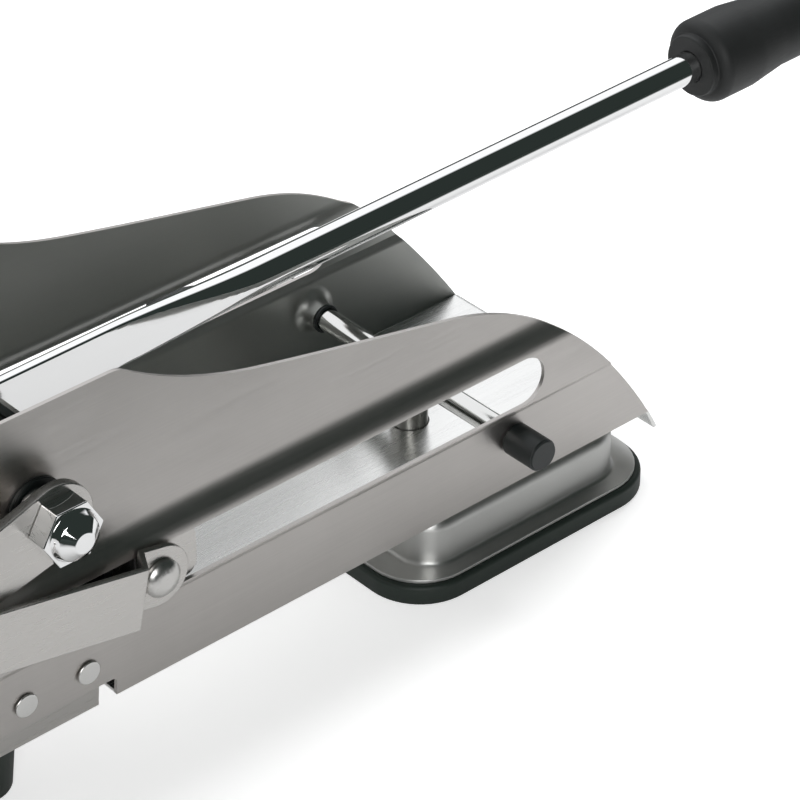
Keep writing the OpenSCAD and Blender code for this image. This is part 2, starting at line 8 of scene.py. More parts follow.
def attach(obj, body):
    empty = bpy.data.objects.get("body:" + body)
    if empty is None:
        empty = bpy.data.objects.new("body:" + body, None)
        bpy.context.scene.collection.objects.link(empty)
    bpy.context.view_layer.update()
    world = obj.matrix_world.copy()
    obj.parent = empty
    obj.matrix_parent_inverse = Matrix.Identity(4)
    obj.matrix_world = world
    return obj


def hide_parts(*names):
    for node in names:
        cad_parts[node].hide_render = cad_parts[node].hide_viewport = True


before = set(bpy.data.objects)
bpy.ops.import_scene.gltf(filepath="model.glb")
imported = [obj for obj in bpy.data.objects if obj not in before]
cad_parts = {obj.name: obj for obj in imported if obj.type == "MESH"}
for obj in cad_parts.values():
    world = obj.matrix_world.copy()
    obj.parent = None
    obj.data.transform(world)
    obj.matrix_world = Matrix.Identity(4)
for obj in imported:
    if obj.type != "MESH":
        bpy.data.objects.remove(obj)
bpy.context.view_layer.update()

# ---- View ----
# The picture is taken with a long lens from in front of the near wall, well above the table.
# The camera's place and its lens are fitted to the tool's edges in the photograph.
looked_at = Vector((-0.0111, 0.0, 0.0322))
turn, rise = math.radians(-41.57), math.radians(34.57)
distance = 1.0291
away = Vector((math.sin(turn) * math.cos(rise), -math.cos(turn) * math.cos(rise), math.sin(rise)))
lens = bpy.data.cameras.new("camera")
lens.lens, lens.sensor_width = 160.4, 36.0
lens.clip_start, lens.clip_end = 0.05, 30.0
camera = bpy.data.objects.new("camera", lens)
camera.location = looked_at + away * distance
camera.rotation_mode = "QUATERNION"
camera.rotation_quaternion = (-away).to_track_quat("-Z", "Y")
bpy.context.scene.collection.objects.link(camera)
bpy.context.scene.camera = camera
bpy.context.scene.view_settings.view_transform = "Standard"

# ---- Studio ----
# A white sweep behind and above the tool, and a darker room on the camera's side.
# The dark side is what draws the long dark bands on the steel and on the lever.
world = bpy.data.worlds.new("studio")
bpy.context.scene.world = world
world.use_nodes = True
sky = world.node_tree
sky.nodes.clear()


def join(tree, *pairs):
    """Links sockets of a node tree, two by two."""
    for a, b in pairs:
        tree.links.new(a, b)


def add(tree, kind, **values):
    """A node of that kind, with its properties and unlinked sockets set."""
    node = tree.nodes.new(kind)
    for key, value in values.items():
        if hasattr(node, key):
            setattr(node, key, value)
        else:
            node.inputs[key.replace("_", " ").title()].default_value = value
    return node


# The room is bright in directions that point behind the tool and upwards.
where = add(sky, "ShaderNodeTexCoord")
split = add(sky, "ShaderNodeSeparateXYZ")
behind = add(sky, "ShaderNodeMapRange", interpolation_type="SMOOTHSTEP")
behind.inputs["From Min"].default_value, behind.inputs["From Max"].default_value = 0.08, 0.26
above = add(sky, "ShaderNodeMapRange", interpolation_type="SMOOTHSTEP")
above.inputs["From Min"].default_value, above.inputs["From Max"].default_value = 0.14, 0.27
lit = add(sky, "ShaderNodeMath", operation="MULTIPLY")
room = add(sky, "ShaderNodeMix", data_type="RGBA")
room.inputs["A"].default_value = (0.026, 0.034, 0.031, 1)
room.inputs["B"].default_value = (1.12, 1.13, 1.15, 1)
rays = add(sky, "ShaderNodeLightPath")
seen = add(sky, "ShaderNodeBackground")
felt = add(sky, "ShaderNodeBackground")
seen.inputs["Color"].default_value = (1, 1, 1, 1)
either = add(sky, "ShaderNodeMixShader")
out = add(sky, "ShaderNodeOutputWorld")
join(sky, (where.outputs["Generated"], split.inputs[0]),
     (split.outputs["Y"], behind.inputs["Value"]), (split.outputs["Z"], above.inputs["Value"]),
     (behind.outputs[0], lit.inputs[0]), (above.outputs[0], lit.inputs[1]),
     (lit.outputs[0], room.inputs["Factor"]), (room.outputs["Result"], felt.inputs["Color"]),
     (rays.outputs["Is Camera Ray"], either.inputs[0]), (felt.outputs[0], either.inputs[1]),
     (seen.outputs[0], either.inputs[2]), (either.outputs[0], out.inputs[0]))


def softbox(name, place, aim, size, watts, shows):
    """Square area lamp; shows tells whether bright metal reflects it."""
    lamp = bpy.data.lights.new(name, "AREA")
    lamp.shape, lamp.size, lamp.energy = "SQUARE", size, watts
    holder = bpy.data.objects.new(name, lamp)
    holder.location = place
    holder.rotation_mode = "QUATERNION"
    holder.rotation_quaternion = (Vector(aim) - Vector(place)).to_track_quat("-Z", "Y")
    holder.visible_camera = False
    holder.visible_glossy = shows
    bpy.context.scene.collection.objects.link(holder)


softbox("lamp_above", (0.62, 0.36, 1.05), (-0.03, 0, 0.03), 0.55, 9.0, False)
softbox("lamp_front", (-1.1, -1.4, 0.8), (-0.03, 0, 0.03), 0.9, 12.0, True)

table_half = 6.0
table_drop = 0.0002      # keeps the table clear of the rubber's underside
table_mesh = bmesh.new()
bmesh.ops.create_grid(table_mesh, x_segments=1, y_segments=1, size=table_half)
bmesh.ops.translate(table_mesh, verts=table_mesh.verts, vec=(0, 0, -table_drop))
table = bpy.data.objects.new("table", bpy.data.meshes.new("table"))
table_mesh.to_mesh(table.data)
table_mesh.free()
bpy.context.scene.collection.objects.link(table)
paper = bpy.data.materials.new("table_paper")
paper.use_nodes = True
tree = paper.node_tree
face = tree.nodes["Principled BSDF"]
face.inputs["Roughness"].default_value = 0.9
face.inputs["Specular IOR Level"].default_value = 0.0
face.inputs["Emission Color"].default_value = (1, 1, 1, 1)
# What the steel mirrors of the table is pale only in a strip along the tool. Beyond the
# strip it darkens, as under a light tent in a dark room.
strip_y = 0.14
rays = add(tree, "ShaderNodeLightPath")
spot = add(tree, "ShaderNodeTexCoord")
split = add(tree, "ShaderNodeSeparateXYZ")
middle = add(tree, "ShaderNodeMath", operation="SUBTRACT")
middle.inputs[1].default_value = strip_y
across = add(tree, "ShaderNodeMath", operation="ABSOLUTE")
near = add(tree, "ShaderNodeMapRange", interpolation_type="SMOOTHSTEP")
near.inputs["From Min"].default_value, near.inputs["From Max"].default_value = 0.31, 0.44
mirrored = add(tree, "ShaderNodeMath", operation="MULTIPLY")
white = add(tree, "ShaderNodeMix", data_type="RGBA")
white.inputs["A"].default_value = (0.8, 0.8, 0.8, 1)
white.inputs["B"].default_value = (0.04, 0.05, 0.045, 1)
# The table also glows faintly, except where glossy rays meet it beyond the strip: painted light that
# brightens what the steel mirrors and softens the tool's shadow. Camera rays get more glow, so the table
# looks white.
glow = add(tree, "ShaderNodeMapRange")
glow.inputs["To Min"].default_value, glow.inputs["To Max"].default_value = 0.16, 0.0
paler = add(tree, "ShaderNodeMath", operation="MULTIPLY_ADD")
paler.inputs[1].default_value = 0.44
join(tree, (mirrored.outputs[0], glow.inputs["Value"]), (glow.outputs[0], paler.inputs[2]),
     (rays.outputs["Is Camera Ray"], paler.inputs[0]), (paler.outputs[0], face.inputs["Emission Strength"]),
     (spot.outputs["Object"], split.inputs[0]), (split.outputs["Y"], middle.inputs[0]),
     (middle.outputs[0], across.inputs[0]), (across.outputs[0], near.inputs["Value"]),
     (near.outputs[0], mirrored.inputs[0]), (rays.outputs["Is Glossy Ray"], mirrored.inputs[1]),
     (mirrored.outputs[0], white.inputs["Factor"]), (white.outputs["Result"], face.inputs["Base Color"]))
table.data.materials.append(paper)

# ---- Floor of the trough ----
# Stainless sheet of 1.2 mm, brushed along its length, with a lip folded down at the rear
# and a round hole for the pull stud of the suction foot.
MM = 0.001
SHEET = 1.2
HALF = 42.0           # half the width across the walls at the floor
REAR, FRONT = 48.5, -213.5
FLOOR_Z = 22.5        # underside of the floor
FLOOR_LEN = 196.0
LIP_OUT, LIP_DROP = 5.2, 9.0    # the lip's lower edge, behind the rear corner and below the floor's top
CAM = (-7.5, 40.5)    # the cam rod, as x and z
STUD_HOLE_R = 5.75


def in_plane(axis, start):
    """Turns an outline's pairs of numbers into points of the plane across an axis, at start."""
    if axis == "X":
        return lambda a, b: (start, a, b)
    if axis == "Y":
        return lambda a, b: (a, start, b)
    return lambda a, b: (a, b, start)


def draw_out(bm, geom, axis, length):
    """Moves the points that an extrusion made along an axis."""
    way = Vector([length if axis == k else 0 for k in "XYZ"])
    bmesh.ops.translate(bm, verts=[g for g in geom if isinstance(g, bmesh.types.BMVert)], vec=way)


def bent_sheet(line, axis, start, end, bend, flats=6, turn=0):
    """Sheet without thickness: a bent line drawn out along an axis, its folds rounded.

    Only folds that turn by more than so many degrees are rounded.
    """
    bm = bmesh.new()
    point = in_plane(axis, start)
    verts = [bm.verts.new(point(a, b)) for a, b in line]
    edges = [bm.edges.new(pair) for pair in zip(verts, verts[1:])]
    draw_out(bm, bmesh.ops.extrude_edge_only(bm, edges=edges)["geom"], axis, end - start)
    bm.normal_update()
    folds = [e for e in bm.edges if len(e.link_faces) == 2 and e.calc_face_angle() > math.radians(turn)]
    bmesh.ops.bevel(bm, geom=folds, offset=bend, offset_type="OFFSET", segments=flats,
                    profile=0.5, affect="EDGES", material=-1, clamp_overlap=True)
    bmesh.ops.remove_doubles(bm, verts=bm.verts, dist=0.01)
    return bm


def piece(name, bm):
    """Object from a mesh drawn in millimetres."""
    bmesh.ops.scale(bm, vec=(MM, MM, MM), verts=bm.verts)
    mesh = bpy.data.meshes.new(name)
    bm.to_mesh(mesh)
    bm.free()
    ob = bpy.data.objects.new(name, mesh)
    bpy.context.scene.collection.objects.link(ob)
    return ob


def settle(ob):
    """Turns what the modifiers make into the piece's own mesh."""
    shaped = bpy.data.meshes.new_from_object(ob.evaluated_get(bpy.context.evaluated_depsgraph_get()))
    ob.modifiers.clear()
    ob.data = shaped
    return ob


def thicken(ob, mm):
    """Gives a sheet its thickness, on the side away from its face."""
    wall = ob.modifiers.new("thickness", "SOLIDIFY")
    wall.thickness, wall.offset, wall.use_even_offset = mm * MM, -1, True
    return settle(ob)


def rod(axis, centre, r, start, end, sides=64):
    """Round bar along an axis, from start to end, about a centre given as two numbers."""
    bm = bmesh.new()
    bmesh.ops.create_cone(bm, cap_ends=True, segments=sides, radius1=r, radius2=r, depth=end - start)
    spin = {"X": Matrix.Rotation(math.pi / 2, 4, "Y"), "Y": Matrix.Rotation(-math.pi / 2, 4, "X"),
            "Z": Matrix()}
    half_way = in_plane(axis, (start + end) / 2)(*centre)
    bmesh.ops.transform(bm, matrix=Matrix.Translation(half_way) @ spin[axis], verts=bm.verts)
    return bm


def cut(ob, *tools, way="DIFFERENCE"):
    """Cuts a piece with closed meshes drawn in millimetres, joins them to it, or keeps what lies in them."""
    knives = [piece(f"{ob.name}_tool", bm) for bm in tools]
    for knife in knives:
        step = ob.modifiers.new("cut", "BOOLEAN")
        step.object, step.operation, step.solver = knife, way, "MANIFOLD"
    settle(ob)
    for knife in knives:
        bpy.data.objects.remove(knife)
    return ob


def soften(ob, mm, steps=2, angle=30):
    """Breaks the edges of a finished piece, and shades its curves smooth."""
    edge = ob.modifiers.new("edges", "BEVEL")
    edge.width, edge.segments, edge.limit_method = mm * MM, steps, "ANGLE"
    edge.angle_limit, edge.miter_outer = math.radians(angle), "MITER_ARC"
    even = ob.modifiers.new("shading", "WEIGHTED_NORMAL")
    even.weight, even.keep_sharp = 80, False
    ob.data.shade_smooth()
    return ob


def fit(ob, body, slot, finish, *nodes):
    """Sets a piece's finish and body, and hides the CAD nodes it stands for; slot is not used."""
    ob.data.materials.clear()
    ob.data.materials.append(finish)
    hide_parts(*nodes)
    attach(ob, body)
    return ob


def brush_marks():
    """Streaks along a brushing direction, and soft clouds such as handling leaves."""
    group = bpy.data.node_groups.new("brush_marks", "ShaderNodeTree")
    group.interface.new_socket("Run", in_out="INPUT", socket_type="NodeSocketVector")
    for name in ("Streak", "Cloud"):
        group.interface.new_socket(name, in_out="OUTPUT", socket_type="NodeSocketFloat")
    ins, outs = add(group, "NodeGroupInput"), add(group, "NodeGroupOutput")
    spot = add(group, "ShaderNodeTexCoord")
    run = add(group, "ShaderNodeVectorMath", operation="MULTIPLY")
    streak = add(group, "ShaderNodeTexNoise", scale=1.0, detail=6.0, roughness=0.68)
    cloud = add(group, "ShaderNodeTexNoise", scale=26.0, detail=4.0, roughness=0.6)
    join(group, (spot.outputs["Object"], run.inputs[0]), (ins.outputs["Run"], run.inputs[1]),
         (run.outputs[0], streak.inputs["Vector"]), (spot.outputs["Object"], cloud.inputs["Vector"]),
         (streak.outputs[0], outs.inputs["Streak"]), (cloud.outputs[0], outs.inputs["Cloud"]))
    return group


marks = brush_marks()


def steel(name, light, dark, rough, run, bump=0.12, stretch=0.0, about="X"):
    """Stainless steel: two tones, the least and most roughness, and the brushing's run.

    With a stretch, highlights are drawn out across the brushing, about the axis given.
    """
    made = bpy.data.materials.new(name)
    made.use_nodes = True
    tree = made.node_tree
    face = tree.nodes["Principled BSDF"]
    face.inputs["Metallic"].default_value = 1.0
    face.inputs["Anisotropic"].default_value = stretch
    if stretch:
        across = add(tree, "ShaderNodeTangent", direction_type="RADIAL", axis=about)
        face.inputs["Anisotropic Rotation"].default_value = 0.25 if about == "Z" else 0.0
        join(tree, (across.outputs[0], face.inputs["Tangent"]))
    worked = add(tree, "ShaderNodeGroup", node_tree=marks)
    worked.inputs["Run"].default_value = run
    tone = add(tree, "ShaderNodeMix", data_type="RGBA")
    tone.inputs["A"].default_value, tone.inputs["B"].default_value = (*dark, 1), (*light, 1)
    streaks, clouds = 0.55, 0.45     # their shares in the tone
    both = add(tree, "ShaderNodeMath", operation="MULTIPLY_ADD")
    both.inputs[1].default_value = clouds
    half = add(tree, "ShaderNodeMath", operation="MULTIPLY")
    half.inputs[1].default_value = streaks
    gloss = add(tree, "ShaderNodeMapRange")
    gloss.inputs["From Min"].default_value, gloss.inputs["From Max"].default_value = 0.3, 0.7
    gloss.inputs["To Min"].default_value, gloss.inputs["To Max"].default_value = rough
    relief = add(tree, "ShaderNodeBump")
    relief.inputs["Strength"].default_value = bump
    relief.inputs["Distance"].default_value = 0.0001
    join(tree, (worked.outputs["Streak"], half.inputs[0]), (worked.outputs["Cloud"], both.inputs[0]),
         (half.outputs[0], both.inputs[2]), (both.outputs[0], tone.inputs["Factor"]),
         (tone.outputs["Result"], face.inputs["Base Color"]),
         (worked.outputs["Streak"], gloss.inputs["Value"]), (gloss.outputs[0], face.inputs["Roughness"]),
         (worked.outputs["Streak"], relief.inputs["Height"]), (relief.outputs[0], face.inputs["Normal"]))
    return made


ALONG_X = (22.0, 1500.0, 1500.0)     # streaks per metre: few along the brushing, many across it
# The floor's steel is much paler than the walls': painted light, for the light that falls on it from above
# through the trough's opening.
lit_floor_steel = steel("lit_floor_steel", (0.93, 0.93, 0.915), (0.87, 0.87, 0.855), (0.22, 0.30), ALONG_X,
                    bump=0.03, stretch=0.85)

top = FLOOR_Z + SHEET
tray = bent_sheet([(REAR - FLOOR_LEN, top), (REAR - 0.6, top), (REAR + 1.2, top - 1.6),
                   (REAR + LIP_OUT, top - LIP_DROP)], "Y", -(HALF - SHEET), HALF - SHEET, bend=1.1)
for f in tray.faces:
    if f.normal.z < 0:
        f.normal_flip()
tray = thicken(piece("trough_floor", tray), SHEET)
cut(tray, rod("Z", (CAM[0], 0), STUD_HOLE_R, FLOOR_Z - 3, FLOOR_Z + 4))
fit(soften(tray, 0.2), "base", "sheet", lit_floor_steel, "floor_tray")

# ---- Side walls ----
# Each is one pressed sheet: a strip that leans out, a raised band with a long round-ended
# slot, and an upright upper wall cut to a wave. A flange at the front stops the blades.
wall_steel = steel("wall_steel", (0.72, 0.69, 0.665), (0.49, 0.47, 0.455), (0.34, 0.44), ALONG_X,
                   bump=0.06, stretch=0.6)
# A darker, greener copy of the wall steel: painted shade for the walls' inner faces and the neck round the
# cam rod, which lie in the trough's shade.
shaded_inner_steel = steel("shaded_inner_steel", (0.47, 0.475, 0.455), (0.36, 0.367, 0.35), (0.36, 0.46), ALONG_X,
                    bump=0.06, stretch=0.6)
BAND, UPPER = 46.385, 42.585         # outer faces of the band and of the upper wall
BAND_TOP, UPPER_FOOT = 44.6, 54.0    # where the curve between them starts and ends, above the floor
PAST = 2.0            # the sheet is bent this much too large, and then cut to its outline
TOE = 0.21            # how far its leaning strip has gone in at that depth
WALL_TOP = 100.7
FRONT_STEP = 6.3      # step up of the lower edge in front of the floor
swell = interpolate_bezier(Vector((BAND, BAND_TOP, 0)), Vector((BAND, 48.9, 0)), Vector((UPPER, 49.3, 0)),
                           Vector((UPPER, UPPER_FOOT, 0)), 14)
profile = [(HALF - TOE, -PAST), (44.8, 26.6), (BAND, 28.7), *[(p.x, p.y) for p in swell], (UPPER, 103)]
profile = [(y, FLOOR_Z + z) for y, z in profile]
SLOT_X, SLOT_H, SLOT_Z = (-183.5, 1.5), 15.4, FLOOR_Z + 37.1
PIVOT = (-169.5, 94.7)               # the lever shaft, as x and z
BUSH_R, ROD_HOLE_R, RIVET_R = 6.5, 3.6, 2.0
RIVETS_X, RIVETS_Z = (-201.5, -177.5, -157.5), FLOOR_Z + 14
STUDS_Y, STUDS_Z, STUD_R = 37.0, (34.5, 79.5), 1.7    # notches for the blade frame's studs
INSIDE, OUTSIDE = 36.0, 52.0         # planes that clear a wall on both sides


def prism(outline, axis, start, end):
    """Closed block: an outline drawn out along an axis."""
    bm = bmesh.new()
    point = in_plane(axis, start)
    lid = bm.faces.new([bm.verts.new(point(a, b)) for a, b in outline])
    draw_out(bm, bmesh.ops.extrude_face_region(bm, geom=[lid])["geom"], axis, end - start)
    bmesh.ops.recalc_face_normals(bm, faces=bm.faces)
    return bm


def turned(centre, steps, sides=64):
    """Closed shape turned about an axis along Y; steps are radius and y, from end to end."""
    bm = bmesh.new()
    verts = [bm.verts.new((centre[0] + r, y, centre[1])) for r, y in steps]
    edges = [bm.edges.new(pair) for pair in zip(verts, verts[1:])]
    bmesh.ops.spin(bm, geom=verts + edges, cent=(centre[0], 0, centre[1]), axis=(0, 1, 0),
                   angle=2 * math.pi, steps=sides, use_merge=True)
    bmesh.ops.remove_doubles(bm, verts=bm.verts, dist=1e-4)
    bmesh.ops.recalc_face_normals(bm, faces=bm.faces)
    return bm


def wave():
    """Outline of a wall seen from the side, from the rear corner over the top to the front."""
    end = FRONT - REAR
    curves = [((0, 0), (-6, 10), (-24, 35.5), (-39.2, 47.6)),
              ((-39.2, 47.6), (-50, 55.5), (-62, 63), (-80, 66.8)),
              ((-80, 66.8), (-104, 72), (-126, 76.4), (-146, 81.2)),
              ((-146, 81.2), (-162, 85), (-176, 91), (-188.6, 99.6)),
              ((-188.6, 99.6), (-190, 100.5), (-191.3, WALL_TOP), (-194, WALL_TOP)),
              ((end + 12, WALL_TOP), (end + 5, WALL_TOP), (end, WALL_TOP - 5), (end, WALL_TOP - 12))]
    run = []
    for curve in curves:
        run += [(p.x, p.y) for p in interpolate_bezier(*[Vector((*c, 0)) for c in curve], 22)][:-1]
    run += [(end, WALL_TOP - 12), (end, FRONT_STEP), (-FLOOR_LEN - 1.5, FRONT_STEP),
            (-FLOOR_LEN - 0.4, FRONT_STEP - 0.5), (-FLOOR_LEN, FRONT_STEP - 1.5), (-FLOOR_LEN, 0)]
    return [(REAR + x, FLOOR_Z + z) for x, z in run]


def slot_outline(x0, x1, height, centre_z, steps=20):
    """Long slot with round ends."""
    r = height / 2
    ends = []
    for x, first in ((x1 - r, -90), (x0 + r, 90)):
        ends += [(x + r * math.cos(math.radians(first + 180 * i / steps)),
                  centre_z + r * math.sin(math.radians(first + 180 * i / steps))) for i in range(steps + 1)]
    return ends


for side, name in ((-1, "near"), (1, "far")):
    sheet = bent_sheet(profile, "X", FRONT - PAST, REAR + PAST, bend=1.2, flats=7, turn=8)
    for f in sheet.faces:
        if f.normal.y < 0 and abs(f.normal.y) > 0.3:
            f.normal_flip()
    if side < 0:
        bmesh.ops.scale(sheet, vec=(1, -1, 1), verts=sheet.verts)
        bmesh.ops.reverse_faces(sheet, faces=sheet.faces)
    wall = thicken(piece(f"side_wall_{name}", sheet), SHEET)
    lo, hi = sorted((side * INSIDE, side * OUTSIDE))
    cut(wall, prism(wave(), "Y", lo, hi), way="INTERSECT")
    stop = [(35.5, 29.5), (41.5, 29.5), (43.8, 49), (45.4, 51.2), (45.4, 70), (41.6, 75.2), (41.6, 89.5),
            (35.5, 89.5)]
    cut(wall, prism([(side * y, z) for y, z in stop], "X", FRONT + 0.02, FRONT + SHEET), way="UNION")
    if side > 0:
        # a neck drawn inwards round the cam rod, whose foot follows the wall's lean
        mouth, foot, slope = 37.8, 43.4, math.tan(math.radians(6))
        neck = turned(CAM, [(0, mouth), (4.3, mouth), (4.45, 39.3), (4.8, 40.5), (5.5, 41.5), (6.6, 42.3),
                            (8.4, 42.9), (8.4, foot), (0, foot)])
        for v in neck.verts:
            v.co.y += (v.co.z - CAM[1]) * slope * (v.co.y - mouth) / (foot - mouth)
        cut(wall, neck, way="UNION")
    x0, x1 = FRONT - 1, FRONT + 2
    notches = [prism([(x0, z - STUD_R), (x1, z - STUD_R), (x1, z + STUD_R), (x0, z + STUD_R)], "Y",
                     *sorted((side * (STUDS_Y - 2), side * STUDS_Y))) for z in STUDS_Z]
    cut(wall, *notches, *[rod("X", (side * STUDS_Y, z), STUD_R, x0, x1 + 1, 32) for z in STUDS_Z],
        prism(slot_outline(*SLOT_X, SLOT_H, SLOT_Z), "Y", lo, hi),
        rod("Y", CAM, ROD_HOLE_R, lo, hi), rod("Y", PIVOT, BUSH_R, lo, hi),
        *[rod("Y", (x, RIVETS_Z), RIVET_R, lo, hi, 32) for x in RIVETS_X])
    fit(soften(wall, 0.22), "base", "sheet", wall_steel, f"wall_{name}")
    wall.data.materials.append(shaded_inner_steel)
    # Faces that look into the trough, and those of the neck, take the darker copy as painted shade.
    neck_r, neck_y = 9 * MM, 42.6 * MM
    for f in wall.data.polygons:
        from_rod = (f.center.xz - Vector(CAM) * MM).length
        if f.normal.y * side < -0.2 or from_rod < neck_r and f.center.y * side < neck_y:
            f.material_index = 1

# ---- Suction housing ----
# A box drawn from stainless sheet under the rear of the trough, brushed round its sides.
# Its flange holds the rubber down.
FOOT_X = 0.0
PAD_T = 6.2           # the rubber's thickness, and the flange's underside
FLANGE_TOP = PAD_T + SHEET
BOX_L, BOX_W, BOX_R = 79.0, 85.0, 11.0
FLANGE, FLANGE_R = 95.8, 17.0
housing_steel = steel("housing_steel", (0.68, 0.68, 0.665), (0.58, 0.58, 0.565), (0.34, 0.46),
                      (60.0, 60.0, 3200.0), bump=0.05, stretch=0.7, about="Z")


def rounded_block(length, width, r, z0, z1, steps=10):
    """Block on the foot's centre with upright round corners."""
    bm = bmesh.new()
    bmesh.ops.create_cube(bm, size=1)
    bmesh.ops.scale(bm, vec=(length, width, z1 - z0), verts=bm.verts)
    bmesh.ops.translate(bm, vec=(FOOT_X, 0, (z0 + z1) / 2), verts=bm.verts)
    upright = [e for e in bm.edges if abs(e.verts[0].co.z - e.verts[1].co.z) > 0.1]
    bmesh.ops.bevel(bm, geom=upright, offset=r, offset_type="OFFSET", segments=steps, profile=0.5,
                    affect="EDGES", material=-1)
    return bm


def round_rim(bm, z, r, steps=4):
    """Rounds the edges of a block that lie at height z."""
    rim = [e for e in bm.edges if all(abs(v.co.z - z) < 1e-4 for v in e.verts)
           and any(abs(f.normal.z) < 0.5 for f in e.link_faces)]
    bmesh.ops.bevel(bm, geom=rim, offset=r, offset_type="OFFSET", segments=steps, profile=0.5,
                    affect="EDGES", material=-1)


box = rounded_block(BOX_L, BOX_W, BOX_R, PAD_T, FLOOR_Z)
round_rim(box, FLOOR_Z, 4.0, 8)
housing = piece("foot_housing", box)
cut(housing, rounded_block(FLANGE, FLANGE, FLANGE_R, PAD_T, FLANGE_TOP), way="UNION")
drawn = bmesh.new()
drawn.from_mesh(housing.data)
reach_x, reach_y = (BOX_L / 2 + 0.1) * MM, (BOX_W / 2 + 0.1) * MM
root = [e for e in drawn.edges if all(abs(v.co.z - FLANGE_TOP * MM) < 2e-6 and abs(v.co.x) < reach_x
                                      and abs(v.co.y) < reach_y for v in e.verts)]
bmesh.ops.bevel(drawn, geom=root, offset=1.4 * MM, offset_type="OFFSET", segments=5, profile=0.5,
                affect="EDGES", material=-1)
drawn.to_mesh(housing.data)
drawn.free()
fit(soften(housing, 0.25), "base", "sheet", housing_steel, "suction_housing")

# ---- Suction pad ----
# A square mat of black rubber with round corners, moulded in one piece. It lies flat on the
# table and is held under the housing's flange.
PAD, PAD_R = 99.0, 18.0


def moulding(name, tone, rough, grain, bump=0.25):
    """Rubber or plastic: one dark tone with a fine grain and faint dust."""
    made = bpy.data.materials.new(name)
    made.use_nodes = True
    tree = made.node_tree
    face = tree.nodes["Principled BSDF"]
    spot = add(tree, "ShaderNodeTexCoord")
    fine = add(tree, "ShaderNodeTexNoise", scale=grain, detail=4.0, roughness=0.6)
    dust = add(tree, "ShaderNodeTexNoise", scale=60.0, detail=5.0, roughness=0.7)
    tint = add(tree, "ShaderNodeMix", data_type="RGBA")
    tint.inputs["A"].default_value = (*tone, 1)
    tint.inputs["B"].default_value = (*[min(1.0, c * 1.7 + 0.006) for c in tone], 1)
    gloss = add(tree, "ShaderNodeMapRange")
    gloss.inputs["To Min"].default_value, gloss.inputs["To Max"].default_value = rough
    relief = add(tree, "ShaderNodeBump")
    relief.inputs["Strength"].default_value, relief.inputs["Distance"].default_value = bump, 0.00008
    join(tree, (spot.outputs["Object"], fine.inputs["Vector"]),
         (spot.outputs["Object"], dust.inputs["Vector"]),
         (dust.outputs[0], tint.inputs["Factor"]), (tint.outputs["Result"], face.inputs["Base Color"]),
         (dust.outputs[0], gloss.inputs["Value"]), (gloss.outputs[0], face.inputs["Roughness"]),
         (fine.outputs[0], relief.inputs["Height"]), (relief.outputs[0], face.inputs["Normal"]))
    return made


black_rubber = moulding("black_rubber", (0.010, 0.017, 0.013), (0.42, 0.62), 1500.0)
mat = rounded_block(PAD, PAD, PAD_R, 0.0, PAD_T, 14)
round_rim(mat, PAD_T, 1.3)
round_rim(mat, 0.0, 0.5, 2)
mat = piece("rubber_mat", mat)
fit(soften(mat, 0.2), "base", "rubber", black_rubber, "suction_pad")

# ---- Pull stud and its plate ----
# A turned steel stud on a round steel plate in the middle of the rubber, with a rubber seal
# where it comes up through the floor. The cam draws it up, and the rubber with it.
# The stud's steel is given a dark tone: painted shade, for the shade and dark reflections inside the trough
# where it stands.
shaded_stud_steel = steel("shaded_stud_steel", (0.42, 0.415, 0.395), (0.32, 0.315, 0.30), (0.24, 0.34),
                   (900.0, 900.0, 60.0))
plate_steel = steel("plate_steel", (0.64, 0.62, 0.60), (0.54, 0.525, 0.505), (0.24, 0.36),
                    (60.0, 2400.0, 2400.0), bump=0.06)


def cad_copy(name, node):
    """A copy of a CAD node's mesh, its loose triangles joined and its flats made whole."""
    bm = bmesh.new()
    bm.from_mesh(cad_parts[node].data)
    bmesh.ops.remove_doubles(bm, verts=bm.verts, dist=2e-6)
    bmesh.ops.dissolve_limit(bm, angle_limit=math.radians(0.4), verts=bm.verts, edges=bm.edges,
                             use_dissolve_boundaries=False, delimit=set())
    mesh = bpy.data.meshes.new(name)
    bm.to_mesh(mesh)
    bm.free()
    ob = bpy.data.objects.new(name, mesh)
    bpy.context.scene.collection.objects.link(ob)
    return ob


def carry(node, body, slot, finish, mm=0.2):
    """A piece whose CAD shape is right: its edges are broken and it gets its finish."""
    return fit(soften(cad_copy(f"{node}_part", node), mm), body, slot, finish, node)


carry("pull_stud", "puller", "bright", shaded_stud_steel, 0.3)
carry("pull_plate", "puller", "plate", plate_steel)
carry("stud_seal", "base", "rubber", black_rubber, 0.3)

# ---- Cam rod ----
# A bright rod across the trough, with a plastic cap at the near end and, outside the far
# wall, a flat arm with a plastic grip that turns it.
black_plastic = moulding("black_plastic", (0.006, 0.009, 0.009), (0.32, 0.46), 900.0, 0.12)
rod_steel = steel("rod_steel", (0.78, 0.78, 0.765), (0.68, 0.68, 0.665), (0.07, 0.12), (900.0, 30.0, 900.0),
                  bump=0.04)
carry("cam_shaft", "cam", "bright", rod_steel, 0.3)
carry("shaft_cap", "cam", "plastic", black_plastic, 0.7)
carry("cam_collar", "cam", "plastic", black_plastic, 0.3)
carry("vacuum_arm", "cam", "plate", plate_steel, 0.35)
carry("vacuum_knob", "cam", "plastic", black_plastic, 0.8)

